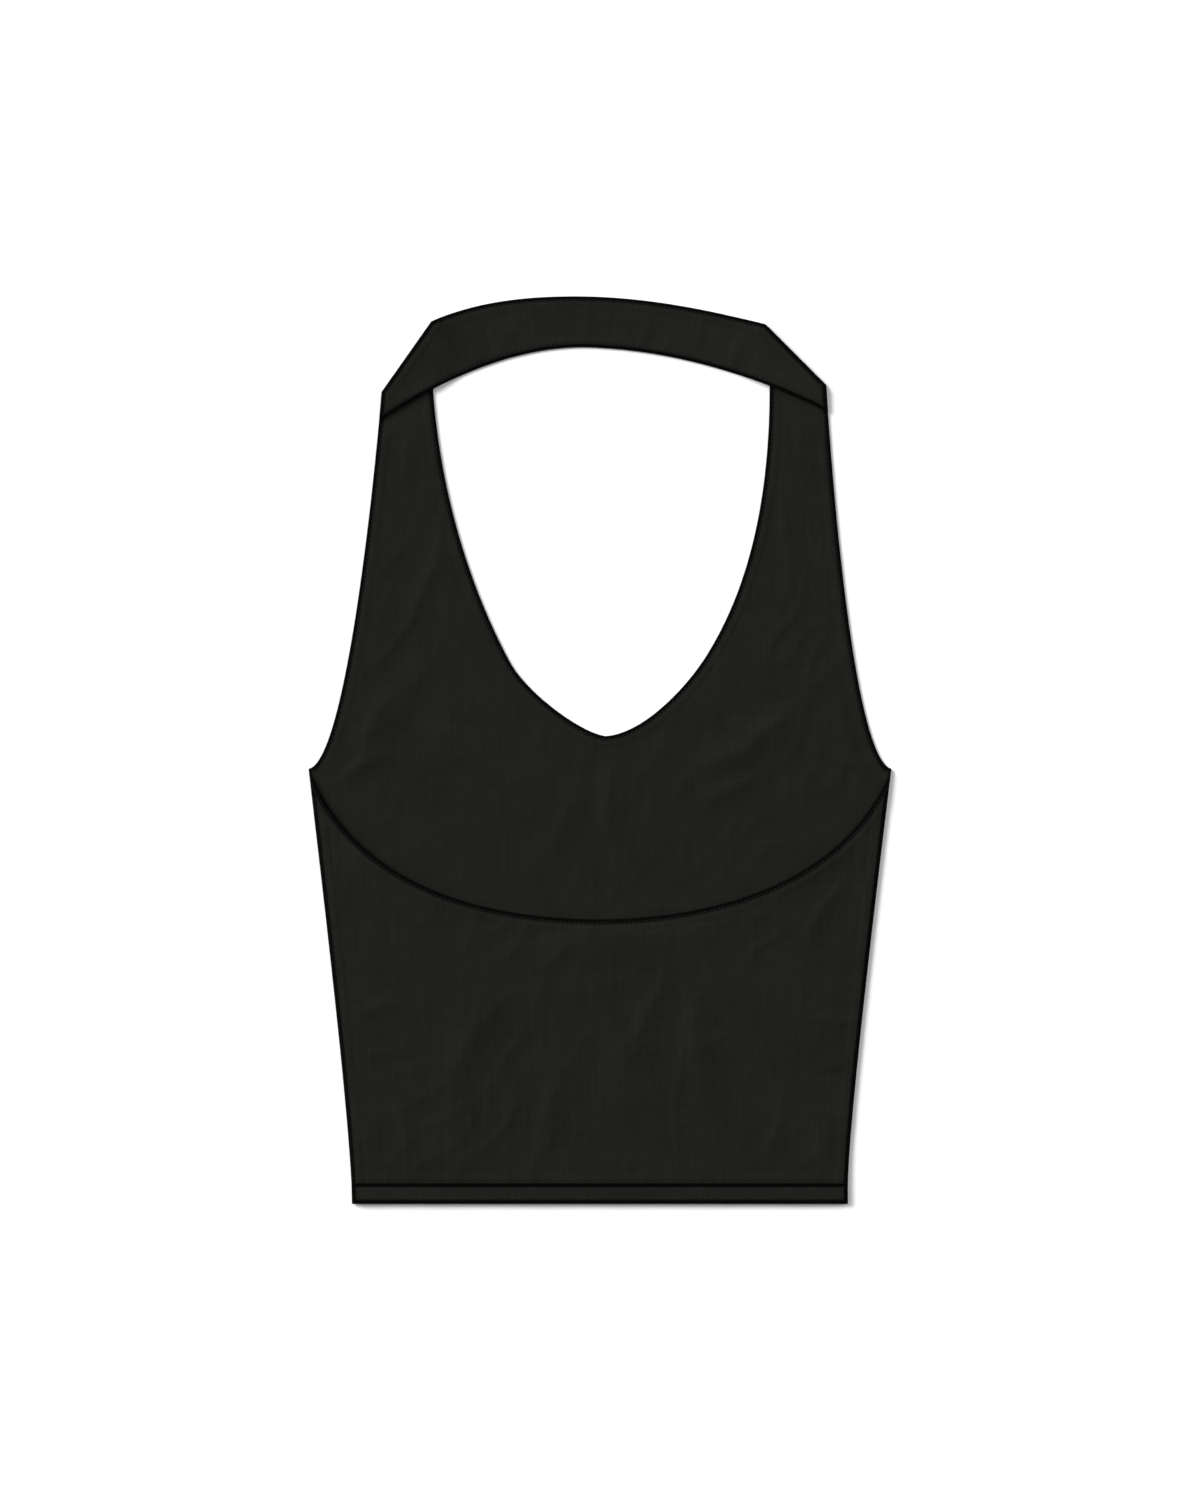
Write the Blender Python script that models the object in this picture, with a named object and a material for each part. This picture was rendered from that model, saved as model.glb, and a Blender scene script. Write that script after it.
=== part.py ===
"""Halter neck top in near-black jersey, laid flat with its back upwards.

The front panel lies face down and runs up into the two straps. The back panel,
with its low scooped top edge, lies on the front panel and meets it at the side
seams. The neck band lies on the strap ends, which it joins along the slanted
seams, and comes down to the surface between the straps. A narrow hem band
closes the bottom edge of each panel.

Sizes are in millimetres. In the tables x runs across the garment from its
centre line and y runs up from the hem's lower edge. The finished model is in
metres, +Z up, with its origin on the surface under the middle of the garment.
"""

import math
from collections import namedtuple

import bpy
import numpy as np

MM = 0.001

# ---------------------------------------------------------------- sizes, mm
WALL = 1.5            # panels and neck band: jersey doubled edge to edge
HEM_WALL = 1.9        # the hem band is folded double once more at its edge
GAP = 0.3             # between one piece and the next
CHEST_HALF = 186.6    # half the width from underarm to underarm
HEM_HALF = 158.7      # half the width along the hem
HEM_BAND = 12.1       # finished height of the hem band
UNDERARM = 278.5      # height of the top of the side seams
SCOOP = 182.3         # height of the lowest point of the back's top edge
NECK_POINT = 299.5    # height of the bottom of the neckline
FULL_HEIGHT = 581.1   # hem to the crown of the neck band
SEAM_RISE = 25.0      # the back lifts over this length to meet the thicker hem band
STRAP_CLEAR = 106.0   # the neck band is clear of both straps inside this half width
BAND_RAMP = 20.0      # ... and comes down to the surface over this length

# -------------------------------------------------- named pattern points, mm
Point = namedtuple("Point", "x y")
POINTS = {
    "hem_left": Point(-HEM_HALF - 0.1, 0.0),
    "hem_right": Point(HEM_HALF, 0.0),
    "hem_centre": Point(0.0, 0.0),
    "seam_left": Point(-HEM_HALF - 0.4, HEM_BAND),
    "seam_right": Point(HEM_HALF, HEM_BAND),
    "seam_centre": Point(0.0, HEM_BAND),
    "underarm_left": Point(-CHEST_HALF, UNDERARM),
    "underarm_right": Point(CHEST_HALF, UNDERARM),
    "scoop_centre": Point(0.0, SCOOP),
    "neck_point": Point(3.8, NECK_POINT),
    "neck_turn_left": Point(-58.4, 348.1),
    "neck_turn_right": Point(70.3, 354.5),
    "strap_inner_left": Point(-106.9, 521.6),
    "strap_inner_right": Point(108.6, 523.2),
    "strap_outer_left": Point(-139.9, 519.8),
    "strap_outer_right": Point(144.9, 524.2),
    "band_top_left": Point(-108.1, 564.9),
    "band_top_right": Point(106.1, 563.1),
    "band_crown": Point(-16.0, FULL_HEIGHT),
    "band_low_left": Point(-141.5, 501.0),
    "band_low_right": Point(146.0, 506.8),
    "band_low_crown": Point(-9.9, 548.5),
}

# ------------------------------------------------------- pattern edges
# Each edge is one cubic: it leaves its first point at leave_deg with a handle
# leave_mm long, and reaches its last point at arrive_deg with a handle
# arrive_mm long. Angles turn anticlockwise from +X. No handles: straight.
Edge = namedtuple("Edge", "start leave_deg leave_mm end arrive_deg arrive_mm")
EDGES = {
    "side_left": Edge("seam_left", 93.0, 64.0, "underarm_left", 96.5, 69.5),
    "side_right": Edge("seam_right", 89.0, 42.0, "underarm_right", 83.0, 81.5),
    "armhole_left": Edge("underarm_left", 11.5, 26.5, "strap_outer_left", 85.5, 24.0),
    "armhole_right": Edge("underarm_right", 166.5, 27.0, "strap_outer_right", 93.0, 24.0),
    "centre": Edge("seam_centre", 90.0, 0.0, "neck_point", 90.0, 0.0),
    "neck_low_left": Edge("neck_point", 174.5, 15.5, "neck_turn_left", 117.0, 23.0),
    "neck_high_left": Edge("neck_turn_left", 118.0, 60.0, "strap_inner_left", 94.0, 59.5),
    "neck_low_right": Edge("neck_point", 4.0, 25.0, "neck_turn_right", 60.0, 24.5),
    "neck_high_right": Edge("neck_turn_right", 59.0, 58.0, "strap_inner_right", 90.0, 57.5),
    "strap_end_left": Edge("strap_inner_left", 92.0, 0.0, "band_top_left", 92.0, 0.0),
    "strap_end_right": Edge("strap_inner_right", 93.5, 0.0, "band_top_right", 93.5, 0.0),
    "slant_left": Edge("strap_outer_left", 55.0, 0.0, "band_top_left", 55.0, 0.0),
    "slant_right": Edge("strap_outer_right", 135.0, 0.0, "band_top_right", 135.0, 0.0),
    "band_end_left": Edge("band_low_left", 85.0, 0.0, "strap_outer_left", 85.0, 0.0),
    "band_end_right": Edge("band_low_right", 93.5, 0.0, "strap_outer_right", 93.5, 0.0),
    "band_top_rise": Edge("band_top_left", 24.5, 31.5, "band_crown", 0.0, 31.0),
    "band_top_fall": Edge("band_crown", 0.0, 41.5, "band_top_right", -14.5, 41.5),
    "band_low_rise": Edge("band_low_left", 33.5, 47.0, "band_low_crown", 0.0, 47.5),
    "band_low_fall": Edge("band_low_crown", -1.5, 54.5, "band_low_right", -27.0, 54.0),
    "scoop_fall": Edge("underarm_left", -68.0, 86.5, "scoop_centre", 0.0, 64.5),
    "scoop_rise": Edge("scoop_centre", 0.0, 54.0, "underarm_right", 68.0, 88.5),
    "hem_fold": Edge("hem_left", 0.0, 0.0, "hem_right", 0.0, 0.0),
    "hem_end_left": Edge("hem_left", 91.0, 0.0, "seam_left", 91.0, 0.0),
    "hem_end_right": Edge("hem_right", 90.0, 0.0, "seam_right", 90.0, 0.0),
    "hem_seam": Edge("seam_left", 0.0, 0.0, "seam_right", 0.0, 0.0),
}

# ------------------------------------------------- soft folds of the back
# Each fold is a low rounded ridge: its middle, its length and width, the way
# it runs (anticlockwise from +X) and its height above the flat cloth.
Fold = namedtuple("Fold", "x y length width turn_deg height")
BACK_FOLDS = [
    Fold(-118.0, 214.0, 120.0, 26.0, -32.0, 1.8),   # drag from the left underarm
    Fold(122.0, 210.0, 104.0, 24.0, 34.0, 1.5),     # drag from the right underarm
    Fold(8.0, 168.0, 190.0, 46.0, 2.0, 1.2),        # ease along the scoop
    Fold(-84.0, 104.0, 150.0, 34.0, 74.0, 1.2),     # ease at the waist, left
    Fold(66.0, 86.0, 132.0, 30.0, 103.0, 1.4),      # ease at the waist, right
]

# Rows of the front panel, each from its outer edge to its inner one. A station
# is a fraction of the length of one named edge on each side, and `rows` equal
# steps lead to it from the station before. The last row is the slanted seam.
Station = namedtuple("Station", "outer outer_at inner inner_at rows")
FRONT_STATIONS = [
    Station("side", 0.00, "centre", 0.00, 0),
    Station("side", 1.00, "centre", 0.91, 9),
    Station("armhole", 0.15, "centre", 1.00, 6),
    Station("armhole", 0.48, "neck_low", 1.00, 10),
    Station("armhole", 0.90, "neck_high", 0.90, 10),
    Station("armhole", 1.00, "strap_end", 1.00, 4),
]
FRONT_OUTER = ("side", "armhole")
FRONT_INNER = ("centre", "neck_low", "neck_high", "strap_end")
FRONT_COLUMNS = 10


# ---------------------------------------------------------------- curves
def edge_points(name, steps=160):
    """Points along one pattern edge, close together."""
    e = EDGES[name]
    a, d = np.array(POINTS[e.start]), np.array(POINTS[e.end])
    if e.leave_mm == 0.0 and e.arrive_mm == 0.0:
        t = np.linspace(0.0, 1.0, steps + 1)[:, None]
        return a + (d - a) * t
    out, back = math.radians(e.leave_deg), math.radians(e.arrive_deg)
    b = a + e.leave_mm * np.array([math.cos(out), math.sin(out)])
    c = d - e.arrive_mm * np.array([math.cos(back), math.sin(back)])
    t = np.linspace(0.0, 1.0, steps + 1)[:, None]
    return (1 - t) ** 3 * a + 3 * (1 - t) ** 2 * t * b + 3 * (1 - t) * t**2 * c + t**3 * d


class Chain:
    """Several edges end to end, read by the length along them."""

    def __init__(self, *names):
        points, self.begins = None, {}
        length = 0.0
        for name in names:
            p = edge_points(name)
            self.begins[name] = (length, float(np.linalg.norm(np.diff(p, axis=0), axis=1).sum()))
            length += self.begins[name][1]
            points = p if points is None else np.vstack([points, p[1:]])
        self.points = points
        self.along = np.concatenate([[0.0], np.cumsum(np.linalg.norm(np.diff(points, axis=0), axis=1))])
        self.length = float(self.along[-1])

    def place(self, name, fraction):
        """How far along the chain a fraction of one of its edges is."""
        begin, length = self.begins[name]
        return begin + fraction * length

    def at(self, lengths):
        lengths = np.asarray(lengths, float)
        return np.stack([np.interp(lengths, self.along, self.points[:, k]) for k in (0, 1)], axis=-1)


def clustered(count, pull):
    """count + 1 fractions from 0 to 1, closer together at both ends."""
    t = np.linspace(0.0, 1.0, count + 1)
    return t - pull * np.sin(2 * math.pi * t) / (2 * math.pi)


# ---------------------------------------------------------------- patches
def patch_between(outer, inner, columns):
    """Grid of straight rows from each outer point to its inner point."""
    t = np.linspace(0.0, 1.0, columns + 1)[None, :, None]
    return outer[:, None, :] * (1 - t) + inner[:, None, :] * t


def patch_inside(low, high, left, right):
    """Grid that fills the space inside four edges that meet at their ends."""
    u = np.linspace(0.0, 1.0, len(low))[None, :, None]
    v = np.linspace(0.0, 1.0, len(left))[:, None, None]
    across = low[None] * (1 - v) + high[None] * v
    along = left[:, None] * (1 - u) + right[:, None] * u
    corners = (
        low[0] * (1 - u) * (1 - v)
        + low[-1] * u * (1 - v)
        + high[0] * (1 - u) * v
        + high[-1] * u * v
    )
    return across + along - corners


def front_half(side):
    """One half of the front panel, from the hem seam up to its slanted strap end."""
    outer = Chain(*("%s_%s" % (name, side) for name in FRONT_OUTER))
    inner = Chain(*(name if name == "centre" else "%s_%s" % (name, side) for name in FRONT_INNER))
    outer_at, inner_at = [], []
    for before, station in zip([None] + FRONT_STATIONS[:-1], FRONT_STATIONS):
        a = outer.place("%s_%s" % (station.outer, side), station.outer_at)
        b = inner.place(station.inner if station.inner == "centre" else "%s_%s" % (station.inner, side), station.inner_at)
        if before is None:
            outer_at, inner_at = [a], [b]
            continue
        outer_at += list(np.linspace(outer_at[-1], a, station.rows + 1)[1:])
        inner_at += list(np.linspace(inner_at[-1], b, station.rows + 1)[1:])
    return patch_between(outer.at(outer_at), inner.at(inner_at), FRONT_COLUMNS)


def back_grid(columns=44, rows=18):
    seam = Chain("hem_seam")
    scoop = Chain("scoop_fall", "scoop_rise")
    left, right = Chain("side_left"), Chain("side_right")
    u, v = clustered(columns, 0.45), clustered(rows, 0.25)
    return patch_inside(
        seam.at(u * seam.length), scoop.at(u * scoop.length), left.at(v * left.length), right.at(v * right.length)
    )


def band_grid(columns=54, rows_end=2, rows_slant=4):
    """The neck band. Its ends turn a corner where the strap's edge meets the slanted seam."""
    low = Chain("band_low_rise", "band_low_fall")
    high = Chain("band_top_rise", "band_top_fall")

    def end(side):
        a, b = Chain("band_end_%s" % side), Chain("slant_%s" % side)
        first = a.at(np.linspace(0.0, a.length, rows_end + 1))
        second = b.at(np.linspace(0.0, b.length, rows_slant + 1))
        return np.vstack([first, second[1:]])

    u = clustered(columns, 0.35)
    return patch_inside(low.at(u * low.length), high.at(u * high.length), end("left"), end("right"))


def hem_grid(columns=16, rows=1):
    low, high = Chain("hem_fold"), Chain("hem_seam")
    left, right = Chain("hem_end_left"), Chain("hem_end_right")
    u, v = np.linspace(0.0, 1.0, columns + 1), np.linspace(0.0, 1.0, rows + 1)
    return patch_inside(
        low.at(u * low.length), high.at(u * high.length), left.at(v * left.length), right.at(v * right.length)
    )


def shift_row(grid, row, dy):
    """Moves one row of a grid along Y, to leave the gap at a seam."""
    grid = grid.copy()
    grid[row, :, 1] += dy
    return grid


# ---------------------------------------------------------------- heights
def ease(t):
    t = np.clip(t, 0.0, 1.0)
    return t * t * (3.0 - 2.0 * t)


def distance_to(points, line):
    """Shortest distance from each point to a line of points."""
    a, b = line[:-1], line[1:]
    ab = b - a
    ap = points[:, None, :] - a[None]
    t = np.clip((ap * ab[None]).sum(-1) / (ab * ab).sum(-1)[None], 0.0, 1.0)
    return np.linalg.norm(ap - t[..., None] * ab[None], axis=-1).min(axis=1)


def fold_height(points, folds):
    """Rounded ridges that fade out along their length and across their width."""
    z = np.zeros(len(points))
    for f in folds:
        a = math.radians(f.turn_deg)
        dx, dy = points[:, 0] - f.x, points[:, 1] - f.y
        along = (dx * math.cos(a) + dy * math.sin(a)) / (f.length / 2)
        across = (dy * math.cos(a) - dx * math.sin(a)) / (f.width / 2)
        ridge = np.where(np.abs(across) < 1, np.cos(across * math.pi / 2) ** 2, 0.0)
        fade = np.where(np.abs(along) < 1, np.cos(along * math.pi / 2) ** 2, 0.0)
        z += f.height * ridge * fade
    return z


def on_surface(points):
    return np.zeros(len(points))


def on_front(points):
    """Underside of the back panel: on the front, up to the hem band, with its folds."""
    rise = HEM_WALL + (HEM_WALL - WALL) / 2 - WALL
    lift = rise * ease(1.0 - (points[:, 1] - HEM_BAND) / SEAM_RISE)
    sides = np.minimum(
        distance_to(points, edge_points("side_left", 40)), distance_to(points, edge_points("side_right", 40))
    )
    return WALL + GAP + lift + fold_height(points, BACK_FOLDS) * ease(sides / 16.0)


def on_straps(points):
    """Underside of the neck band: on the straps, and down to the surface between them."""
    return (WALL + GAP) * ease((np.abs(points[:, 0]) - (STRAP_CLEAR - BAND_RAMP)) / BAND_RAMP)


def on_hem(points):
    return np.full(len(points), HEM_WALL + GAP)


# ---------------------------------------------------------------- solids
def fabric(name, colour, roughness):
    material = bpy.data.materials.new(name)
    material.use_nodes = True
    shader = material.node_tree.nodes["Principled BSDF"]
    shader.inputs["Base Color"].default_value = (*colour, 1.0)
    shader.inputs["Roughness"].default_value = roughness
    shader.inputs["Metallic"].default_value = 0.0
    material.diffuse_color = (*colour, 1.0)
    return material


def cloth(name, grids, underside, wall, material, parent):
    """A wall of cloth over one or more grids that share their common points."""
    index, flat, cells = {}, [], []
    for grid in grids:
        rows, columns = grid.shape[:2]
        ids = np.empty((rows, columns), int)
        for i in range(rows):
            for j in range(columns):
                key = (round(float(grid[i, j, 0]), 3), round(float(grid[i, j, 1]), 3))
                if key not in index:
                    index[key] = len(flat)
                    flat.append(key)
                ids[i, j] = index[key]
        for i in range(rows - 1):
            for j in range(columns - 1):
                cell = [ids[i, j], ids[i, j + 1], ids[i + 1, j + 1], ids[i + 1, j]]
                ring = [c for k, c in enumerate(cell) if c != cell[k - 1]]
                corners = np.array([flat[c] for c in ring])
                x, y = corners[:, 0], corners[:, 1]
                if (x * np.roll(y, -1) - y * np.roll(x, -1)).sum() < 0:
                    ring.reverse()
                cells.append(ring)
    flat = np.array(flat)
    low = underside(flat)
    count = len(flat)
    used = {}
    for ring in cells:
        for a, b in zip(ring, ring[1:] + ring[:1]):
            used[(a, b)] = True
    rim = [(a, b) for a, b in used if (b, a) not in used]
    vertices = [(x * MM, y * MM, z * MM) for (x, y), z in zip(flat, low)]
    vertices += [(x * MM, y * MM, (z + wall) * MM) for (x, y), z in zip(flat, low)]
    faces = [list(reversed(ring)) for ring in cells]
    faces += [[c + count for c in ring] for ring in cells]
    faces += [[a, b, b + count, a + count] for a, b in rim]
    mesh = bpy.data.meshes.new(name)
    mesh.from_pydata(vertices, [], faces)
    mesh.validate()
    mesh.shade_smooth()
    mesh.set_sharp_from_angle(angle=math.radians(35))
    mesh.materials.append(material)
    piece = bpy.data.objects.new(name, mesh)
    bpy.context.scene.collection.objects.link(piece)
    piece.parent = parent
    return piece


def build():
    for o in list(bpy.data.objects):
        bpy.data.objects.remove(o, do_unlink=True)

    garment = bpy.data.objects.new("garment", None)
    bpy.context.scene.collection.objects.link(garment)
    garment.location = (0.0, -FULL_HEIGHT / 2 * MM, 0.0)

    near_black = (0.0144, 0.0144, 0.0130)
    half = GAP / 2
    cloth(
        "front_panel",
        [shift_row(front_half("left"), 0, half), shift_row(front_half("right"), 0, half)],
        on_surface, WALL, fabric("front_jersey", near_black, 0.85), garment,
    )
    cloth(
        "back_panel",
        [shift_row(back_grid(), 0, half)],
        on_front, WALL, fabric("back_jersey", near_black, 0.85), garment,
    )
    cloth("neck_band", [band_grid()], on_straps, WALL, fabric("neck_band_jersey", near_black, 0.85), garment)
    cloth(
        "hem_band_front",
        [shift_row(hem_grid(), -1, -half)],
        on_surface, HEM_WALL, fabric("hem_front_jersey", near_black, 0.85), garment,
    )
    cloth(
        "hem_band_back",
        [shift_row(hem_grid(), -1, -half)],
        on_hem, HEM_WALL, fabric("hem_back_jersey", near_black, 0.85), garment,
    )
    bpy.context.view_layer.update()


build()
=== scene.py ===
"""Looks of the halter neck top: jersey shells on the CAD solids, seams, stitches, floor, light and camera.

Lengths in the tables are millimetres: x across the garment from its centre line, y up from the hem's lower edge.
"""

import math
from collections import namedtuple

import bpy
import numpy as np
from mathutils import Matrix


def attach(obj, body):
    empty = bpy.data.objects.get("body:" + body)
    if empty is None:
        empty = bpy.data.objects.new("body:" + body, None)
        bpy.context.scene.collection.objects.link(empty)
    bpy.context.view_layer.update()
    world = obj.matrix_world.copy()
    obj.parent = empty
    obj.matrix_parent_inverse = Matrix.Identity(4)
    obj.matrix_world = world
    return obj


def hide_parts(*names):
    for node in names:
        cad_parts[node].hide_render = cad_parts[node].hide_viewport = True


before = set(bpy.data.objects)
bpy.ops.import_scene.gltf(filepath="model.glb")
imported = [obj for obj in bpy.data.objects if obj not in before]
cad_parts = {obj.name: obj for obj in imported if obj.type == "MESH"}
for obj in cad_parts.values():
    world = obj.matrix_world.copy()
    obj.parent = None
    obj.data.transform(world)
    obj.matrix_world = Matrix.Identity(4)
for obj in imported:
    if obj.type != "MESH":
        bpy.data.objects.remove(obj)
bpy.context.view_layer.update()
MM = 0.001

# ------------------------------------------------------------------ sizes
WALL = 1.5            # doubled jersey
HEM_WALL = 1.9        # hem band
GAP = 0.3
CHEST_HALF = 186.6
HEM_HALF = 158.7
HEM_BAND = 12.1
UNDERARM = 278.5
SCOOP = 182.3
NECK_POINT = 299.5
FULL_HEIGHT = 581.1
SEAM_RISE = 25.0
STRAP_CLEAR = 106.0
BAND_RAMP = 20.0
STITCH_IN = 2.2       # stitch rows run this far inside an edge
STITCH_PITCH = 2.9
THREAD = 0.17         # radius of the sewing thread
# Painted shade: an edge is painted near black over the same width everywhere, times one over these:
OUTLINE = 0.86        # along the outline
SCOOP_LINE = 0.75     # along the scoop
SEAM_LINE = 1.12      # and this much less of it on each side of the hem seam
THREAD_BED = 0.33     # depth of the furrow that a row of stitches pulls into the face that lies down

# ------------------------------------------------------------------ light
SKY_LOW, SKY_HIGH = 0.54, 0.20   # brightness of the pale surroundings near the horizon and overhead
# A soft light's power in watts per square metre across its beam, the degrees it covers, its height
# over the horizon, and where it stands, in degrees from +Y towards -X.
Lamp = namedtuple("Lamp", "name power covers up stands")
LAMPS = [
    Lamp("key", 5.40, 42.0, 28.5, 58.0),
    Lamp("side", 1.10, 44.0, 28.0, -58.0),
]

# ---------------------------------------------- pattern points and edges
Point = namedtuple("Point", "x y")
POINTS = {
    "hem_left": Point(-HEM_HALF - 0.1, 0.0),
    "hem_right": Point(HEM_HALF, 0.0),
    "seam_left": Point(-HEM_HALF - 0.4, HEM_BAND),
    "seam_right": Point(HEM_HALF, HEM_BAND),
    "seam_centre": Point(0.0, HEM_BAND),
    "underarm_left": Point(-CHEST_HALF, UNDERARM),
    "underarm_right": Point(CHEST_HALF, UNDERARM),
    "scoop_centre": Point(0.0, SCOOP),
    "neck_point": Point(3.8, NECK_POINT),
    "neck_turn_left": Point(-58.4, 348.1),
    "neck_turn_right": Point(70.3, 354.5),
    "strap_inner_left": Point(-106.9, 521.6),
    "strap_inner_right": Point(108.6, 523.2),
    "strap_outer_left": Point(-139.9, 519.8),
    "strap_outer_right": Point(144.9, 524.2),
    "band_top_left": Point(-108.1, 564.9),
    "band_top_right": Point(106.1, 563.1),
    "band_crown": Point(-16.0, FULL_HEIGHT),
    "band_low_left": Point(-141.5, 501.0),
    "band_low_right": Point(146.0, 506.8),
    "band_low_crown": Point(-9.9, 548.5),
}
Edge = namedtuple("Edge", "start leave_deg leave_mm end arrive_deg arrive_mm")
EDGES = {
    "side_left": Edge("seam_left", 93.0, 64.0, "underarm_left", 96.5, 69.5),
    "side_right": Edge("seam_right", 89.0, 42.0, "underarm_right", 83.0, 81.5),
    "armhole_left": Edge("underarm_left", 11.5, 26.5, "strap_outer_left", 85.5, 24.0),
    "armhole_right": Edge("underarm_right", 166.5, 27.0, "strap_outer_right", 93.0, 24.0),
    "centre": Edge("seam_centre", 90.0, 0.0, "neck_point", 90.0, 0.0),
    "neck_low_left": Edge("neck_point", 174.5, 15.5, "neck_turn_left", 117.0, 23.0),
    "neck_high_left": Edge("neck_turn_left", 118.0, 60.0, "strap_inner_left", 94.0, 59.5),
    "neck_low_right": Edge("neck_point", 4.0, 25.0, "neck_turn_right", 60.0, 24.5),
    "neck_high_right": Edge("neck_turn_right", 59.0, 58.0, "strap_inner_right", 90.0, 57.5),
    "strap_end_left": Edge("strap_inner_left", 92.0, 0.0, "band_top_left", 92.0, 0.0),
    "strap_end_right": Edge("strap_inner_right", 93.5, 0.0, "band_top_right", 93.5, 0.0),
    "slant_left": Edge("strap_outer_left", 55.0, 0.0, "band_top_left", 55.0, 0.0),
    "slant_right": Edge("strap_outer_right", 135.0, 0.0, "band_top_right", 135.0, 0.0),
    "band_end_left": Edge("band_low_left", 85.0, 0.0, "strap_outer_left", 85.0, 0.0),
    "band_end_right": Edge("band_low_right", 93.5, 0.0, "strap_outer_right", 93.5, 0.0),
    "band_top_rise": Edge("band_top_left", 24.5, 31.5, "band_crown", 0.0, 31.0),
    "band_top_fall": Edge("band_crown", 0.0, 41.5, "band_top_right", -14.5, 41.5),
    "band_low_rise": Edge("band_low_left", 33.5, 47.0, "band_low_crown", 0.0, 47.5),
    "band_low_fall": Edge("band_low_crown", -1.5, 54.5, "band_low_right", -27.0, 54.0),
    "scoop_fall": Edge("underarm_left", -68.0, 86.5, "scoop_centre", 0.0, 64.5),
    "scoop_rise": Edge("scoop_centre", 0.0, 54.0, "underarm_right", 68.0, 88.5),
    "hem_fold": Edge("hem_left", 0.0, 0.0, "hem_right", 0.0, 0.0),
    "hem_end_left": Edge("hem_left", 91.0, 0.0, "seam_left", 91.0, 0.0),
    "hem_end_right": Edge("hem_right", 90.0, 0.0, "seam_right", 90.0, 0.0),
    "hem_seam": Edge("seam_left", 0.0, 0.0, "seam_right", 0.0, 0.0),
}

# ------------------------------------------------------------ soft creases
# A crease's middle, its length and width, the way it runs (anticlockwise from
# +X), its height above the flat cloth, how far its ends bow sideways, and
# towards which end it is highest and narrowest (-1 its start, 1 its end).
Fold = namedtuple("Fold", "x y length width turn_deg height bow lead")
BACK_FOLDS = [
    Fold(-118.0, 214.0, 132.0, 25.0, -32.0, 2.77, 7.0, -0.7),    # drag from the left underarm
    Fold(-128.0, 186.0, 92.0, 15.0, -47.0, 1.34, 4.0, -0.6),     # its smaller neighbour
    Fold(122.0, 210.0, 112.0, 23.0, 34.0, 2.31, -6.0, 0.7),      # drag from the right underarm
    Fold(139.0, 184.0, 76.0, 14.0, 52.0, 1.20, -3.0, 0.6),
    Fold(8.0, 166.0, 196.0, 38.0, 2.0, 1.82, -10.0, 0.2),        # ease along the scoop
    Fold(-84.0, 104.0, 156.0, 31.0, 74.0, 1.90, 8.0, -0.3),      # ease at the waist, left
    Fold(66.0, 86.0, 138.0, 27.0, 103.0, 2.06, -7.0, 0.3),       # ease at the waist, right
    Fold(22.0, 112.0, 104.0, 19.0, 61.0, 1.11, 6.0, 0.4),
    Fold(-31.0, 62.0, 92.0, 17.0, 86.0, 1.20, 3.0, -0.5),        # ease above the hem band
    Fold(114.0, 54.0, 78.0, 15.0, 78.0, 1.11, 3.0, -0.5),
    Fold(-126.0, 58.0, 70.0, 14.0, 103.0, 0.99, -3.0, -0.5),
    Fold(-136.0, 128.0, 54.0, 11.0, 12.0, 0.88, 2.0, -0.8),      # short ones out of the side seams
    Fold(141.0, 118.0, 48.0, 10.0, 170.0, 0.79, -2.0, -0.8),
    Fold(-134.0, 96.0, 40.0, 9.0, -6.0, 0.67, 1.5, -0.8),
    Fold(144.0, 86.0, 42.0, 9.0, 188.0, 0.63, 1.5, -0.8),
]
FRONT_FOLDS = [
    Fold(-74.0, 284.0, 138.0, 27.0, -29.0, 2.15, 9.0, -0.4),     # from the left strap's root to below the neckline
    Fold(-60.0, 258.0, 96.0, 17.0, -21.0, 1.20, 6.0, -0.5),
    Fold(84.0, 288.0, 122.0, 24.0, 32.0, 1.90, -8.0, 0.4),
    Fold(74.0, 262.0, 84.0, 15.0, 25.0, 1.04, -5.0, 0.5),
    Fold(5.0, 244.0, 96.0, 18.0, 87.0, 1.43, 3.0, 0.6),          # below the neck point
    Fold(-27.0, 240.0, 78.0, 14.0, 66.0, 0.88, 4.0, 0.6),
    Fold(33.0, 242.0, 74.0, 14.0, 111.0, 0.79, -4.0, 0.6),
    Fold(-138.0, 314.0, 104.0, 19.0, 59.0, 1.50, -6.0, -0.3),    # along the armholes
    Fold(143.0, 322.0, 96.0, 17.0, 123.0, 1.34, 6.0, -0.3),
    Fold(-150.0, 284.0, 56.0, 11.0, 33.0, 0.88, -2.0, -0.7),
    Fold(152.0, 286.0, 52.0, 11.0, 148.0, 0.79, 2.0, -0.7),
    Fold(-112.0, 402.0, 122.0, 14.0, 73.0, 0.99, 5.0, 0.2),      # along the straps
    Fold(121.0, 414.0, 112.0, 13.0, 100.0, 0.92, -4.0, 0.2),
    Fold(-125.0, 474.0, 58.0, 12.0, 88.0, 0.79, 2.0, 0.4),
    Fold(128.0, 480.0, 54.0, 12.0, 95.0, 0.73, -2.0, 0.4),
]
BAND_FOLDS = [
    Fold(-86.0, 551.0, 48.0, 11.0, 120.0, 0.95, 2.0, -0.2),      # where the band comes down off the straps
    Fold(88.0, 547.0, 44.0, 11.0, 64.0, 0.88, -2.0, -0.2),
    Fold(-44.0, 566.0, 36.0, 9.0, 101.0, 0.57, 1.0, -0.4),
    Fold(30.0, 563.0, 38.0, 9.0, 78.0, 0.60, 1.0, -0.4),
    Fold(-8.0, 566.0, 30.0, 8.0, 92.0, 0.38, 1.0, 0.4),
]
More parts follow.
